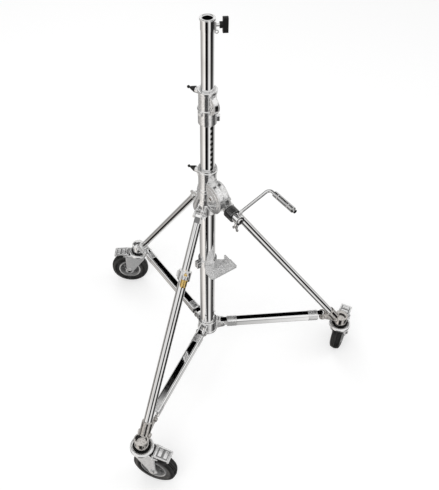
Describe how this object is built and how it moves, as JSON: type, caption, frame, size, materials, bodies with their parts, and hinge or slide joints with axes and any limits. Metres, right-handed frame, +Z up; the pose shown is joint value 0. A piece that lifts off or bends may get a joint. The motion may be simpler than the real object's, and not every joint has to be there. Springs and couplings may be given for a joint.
{
  "type": "wind-up stand",
  "caption": "Chromed crank-up lighting stand with telescoping column, folding braced tripod base and braked swivel casters.",
  "frame": {"origin": "point on the floor under the column's axis", "axes": "+Z up along the column towards the socket; the winch and foot plate face -Y, one leg points to +Y"},
  "size_m": [0.9939, 0.9174, 1.42],
  "materials": {
    "chrome_tube": "polished chrome plate",
    "chrome_fitting": "chrome plate",
    "cast_metal": "polished casting",
    "plated_screw": "zinc plated",
    "foot_tread": "cast tread, satin",
    "black_knob": "moulded, satin",
    "slide_bush": "moulded",
    "brass": "turned",
    "bronze_wheel": "hobbed bronze",
    "machined_steel": "machined",
    "clutch_black": "black, ribbed",
    "fork_zinc": "pressed steel, zinc plated",
    "pedal_plate": "pressed steel, bright",
    "tyre_rubber": "black rubber with fine ribs",
    "rim_grey": "grey moulded wheel centre"
  },
  "bodies": {
    "column": {"base_tube": "chrome_tube", "main_collar": "cast_metal", "riser_bush": "slide_bush", "leg_hub": "cast_metal", "foot_plate": "foot_tread", "foot_clamp": "cast_metal", "gear_case": "cast_metal", "gear_cover": "chrome_fitting", "worm_housing": "cast_metal"},
    "riser": {"geared_riser": "chrome_tube", "upper_collar": "cast_metal", "pulley_cover": "chrome_fitting", "top_bush": "slide_bush"},
    "cable_pulley": {"cable_pulley": "machined_steel"},
    "top_tube": {"top_tube": "chrome_tube", "socket_head": "chrome_fitting", "safety_clip": "chrome_fitting"},
    "socket_screw": {"socket_screw": "black_knob"},
    "upper_lock_knob": {"upper_lock_knob": "black_knob"},
    "main_lock_knob": {"main_lock_knob": "black_knob"},
    "lift_gear": {"pinion": "brass", "worm_wheel": "bronze_wheel"},
    "crank": {"worm_shaft": "machined_steel", "clutch_drum": "clutch_black", "crank_hub": "chrome_fitting", "crank_arm": "chrome_fitting"},
    "crank_grip": {"crank_grip": "chrome_fitting"},
    "crank_wing_screw": {"crank_wing_screw": "plated_screw"},
    "bottom_hub": {"bottom_hub": "cast_metal", "strut_bolts": "plated_screw"},
    "hub_wing_screw": {"hub_wing_screw": "plated_screw"},
    "levelling_tube": {"leg_front_upper": "chrome_tube"},
    "levelling_knob": {"levelling_knob": "brass"},
    "strut_back": {"strut_back": "chrome_tube"},
    "leg_back": {"leg_back": "chrome_tube", "leg_end_back": "cast_metal"},
    "fork_back": {"fork_back": "fork_zinc", "axle_back": "plated_screw"},
    "wheel_back": {"tyre_back": "tyre_rubber", "rim_back": "rim_grey"},
    "pedal_back": {"pedal_back": "pedal_plate"},
    "strut_right": {"strut_right": "chrome_tube"},
    "leg_right": {"leg_right": "chrome_tube", "leg_end_right": "cast_metal"},
    "fork_right": {"fork_right": "fork_zinc", "axle_right": "plated_screw"},
    "wheel_right": {"tyre_right": "tyre_rubber", "rim_right": "rim_grey"},
    "pedal_right": {"pedal_right": "pedal_plate"},
    "strut_front": {"strut_front": "chrome_tube"},
    "leg_front": {"leg_front_lower": "chrome_tube", "levelling_collar": "cast_metal", "leg_end_front": "cast_metal"},
    "fork_front": {"fork_front": "fork_zinc", "axle_front": "plated_screw"},
    "wheel_front": {"tyre_front": "tyre_rubber", "rim_front": "rim_grey"},
    "pedal_front": {"pedal_front": "pedal_plate"}
  },
  "joints": [
    {"name": "riser_lift", "type": "slide", "parent": "column", "child": "riser", "axis": [0, 0, 1], "range_m": [0, 0.61]},
    {"name": "top_tube_lift", "type": "slide", "parent": "riser", "child": "top_tube", "axis": [0, 0, 1], "range_m": [0, 0.61]},
    {"name": "cable_pulley_spin", "type": "hinge", "parent": "riser", "child": "cable_pulley", "pos_m": [0, -0.029, 1.177], "axis": [1, 0, 0], "range_deg": [0, 7001]},
    {"name": "lift_gear_spin", "type": "hinge", "parent": "column", "child": "lift_gear", "pos_m": [0, -0.04292, 0.868], "axis": [1, 0, 0], "range_deg": [0, 1527]},
    {"name": "crank_spin", "type": "hinge", "parent": "column", "child": "crank", "pos_m": [0.013, -0.136, 0.843], "axis": [0, -1, 0], "range_deg": [0, 7325]},
    {"name": "crank_grip_spin", "type": "hinge", "parent": "crank", "child": "crank_grip", "pos_m": [0.12233, -0.136, 0.9036], "axis": [0, -1, 0], "continuous": true},
    {"name": "crank_wing_turn", "type": "hinge", "parent": "crank", "child": "crank_wing_screw", "pos_m": [0.013, -0.136, 0.843], "axis": [-0.2756, 0, -0.9613], "continuous": true},
    {"name": "socket_screw_turn", "type": "hinge", "parent": "top_tube", "child": "socket_screw", "pos_m": [0.02598, -0.015, 1.399], "axis": [0.866, -0.5, 0], "continuous": true},
    {"name": "upper_knob_turn", "type": "hinge", "parent": "riser", "child": "upper_lock_knob", "pos_m": [-0.01172, 0.02762, 1.203], "axis": [-0.3907, 0.9205, 0], "continuous": true},
    {"name": "main_knob_turn", "type": "hinge", "parent": "column", "child": "main_lock_knob", "pos_m": [-0.01172, 0.02762, 0.928], "axis": [-0.3907, 0.9205, 0], "continuous": true},
    {"name": "base_fold", "type": "hinge", "parent": "bottom_hub", "child": "strut_back", "pos_m": [0, 0.051, 0.225], "axis": [-1, 0, 0], "range_deg": [0, 81.7]},
    {"name": "leg_back_fold", "type": "hinge", "parent": "strut_back", "child": "leg_back", "pos_m": [0, 0.41779, 0.225], "axis": [-1, 0, 0], "range_deg": [-53.71, 0]},
    {"name": "strut_right_fold", "type": "hinge", "parent": "bottom_hub", "child": "strut_right", "pos_m": [0.04417, -0.0255, 0.225], "axis": [0.5, 0.866, 0], "range_deg": [0, 81.7]},
    {"name": "leg_right_fold", "type": "hinge", "parent": "strut_right", "child": "leg_right", "pos_m": [0.36182, -0.2089, 0.225], "axis": [0.5, 0.866, 0], "range_deg": [-53.71, 0]},
    {"name": "strut_front_fold", "type": "hinge", "parent": "bottom_hub", "child": "strut_front", "pos_m": [-0.04417, -0.0255, 0.225], "axis": [0.5, -0.866, 0], "range_deg": [0, 81.7]},
    {"name": "leg_front_fold", "type": "hinge", "parent": "strut_front", "child": "leg_front", "pos_m": [-0.36182, -0.2089, 0.225], "axis": [0.5, -0.866, 0], "range_deg": [-53.71, 0]},
    {"name": "bottom_hub_slide", "type": "slide", "parent": "column", "child": "bottom_hub", "axis": [0, 0, 1], "range_m": [0, 0.26238]},
    {"name": "hub_wing_turn", "type": "hinge", "parent": "bottom_hub", "child": "hub_wing_screw", "pos_m": [0.02598, 0.015, 0.233], "axis": [0.866, 0.5, 0], "continuous": true},
    {"name": "levelling_slide", "type": "slide", "parent": "leg_front", "child": "levelling_tube", "axis": [-0.489, -0.2823, -0.8253], "range_m": [0, 0.12]},
    {"name": "levelling_knob_turn", "type": "hinge", "parent": "leg_front", "child": "levelling_knob", "pos_m": [-0.15596, -0.10615, 0.6682], "axis": [-0.489, -0.2823, -0.8253], "continuous": true},
    {"name": "swivel_back", "type": "hinge", "parent": "leg_back", "child": "fork_back", "pos_m": [0, 0.49, 0.171], "axis": [0, 0, 1], "continuous": true},
    {"name": "wheel_back_spin", "type": "hinge", "parent": "fork_back", "child": "wheel_back", "pos_m": [-0.0335, 0.51533, 0.075], "axis": [-0.6032, -0.7976, 0], "continuous": true},
    {"name": "pedal_back_press", "type": "hinge", "parent": "fork_back", "child": "pedal_back", "pos_m": [-0.03509, 0.51654, 0.156], "axis": [-0.6032, -0.7976, 0], "range_deg": [0, 8]},
    {"name": "swivel_right", "type": "hinge", "parent": "leg_right", "child": "fork_right", "pos_m": [0.42435, -0.245, 0.171], "axis": [0, 0, 1], "continuous": true},
    {"name": "wheel_right_spin", "type": "hinge", "parent": "fork_right", "child": "wheel_right", "pos_m": [0.46073, -0.224, 0.075], "axis": [-0.5, 0.866, 0], "continuous": true},
    {"name": "pedal_right_press", "type": "hinge", "parent": "fork_right", "child": "pedal_right", "pos_m": [0.46246, -0.223, 0.156], "axis": [-0.5, 0.866, 0], "range_deg": [0, 8]},
    {"name": "swivel_front", "type": "hinge", "parent": "leg_front", "child": "fork_front", "pos_m": [-0.42435, -0.245, 0.171], "axis": [0, 0, 1], "continuous": true},
    {"name": "wheel_front_spin", "type": "hinge", "parent": "fork_front", "child": "wheel_front", "pos_m": [-0.40008, -0.27928, 0.075], "axis": [0.8161, 0.5779, 0], "continuous": true},
    {"name": "pedal_front_press", "type": "hinge", "parent": "fork_front", "child": "pedal_front", "pos_m": [-0.39893, -0.28091, 0.156], "axis": [0.8161, 0.5779, 0], "range_deg": [0, 8]}
  ],
  "couplings": [
    {"joint": "top_tube_lift", "follows": "riser_lift", "ratio": 1},
    {"joint": "cable_pulley_spin", "follows": "riser_lift", "rad_per_m": 200},
    {"joint": "lift_gear_spin", "follows": "riser_lift", "rad_per_m": 43.633},
    {"joint": "crank_spin", "follows": "riser_lift", "rad_per_m": 209.44},
    {"joint": "leg_back_fold", "follows": "base_fold", "ratio": -0.65727},
    {"joint": "strut_right_fold", "follows": "base_fold", "ratio": 1},
    {"joint": "leg_right_fold", "follows": "base_fold", "ratio": -0.65727},
    {"joint": "strut_front_fold", "follows": "base_fold", "ratio": 1},
    {"joint": "leg_front_fold", "follows": "base_fold", "ratio": -0.65727},
    {"joint": "bottom_hub_slide", "follows": "base_fold", "m_per_rad": 0.18394}
  ]
}
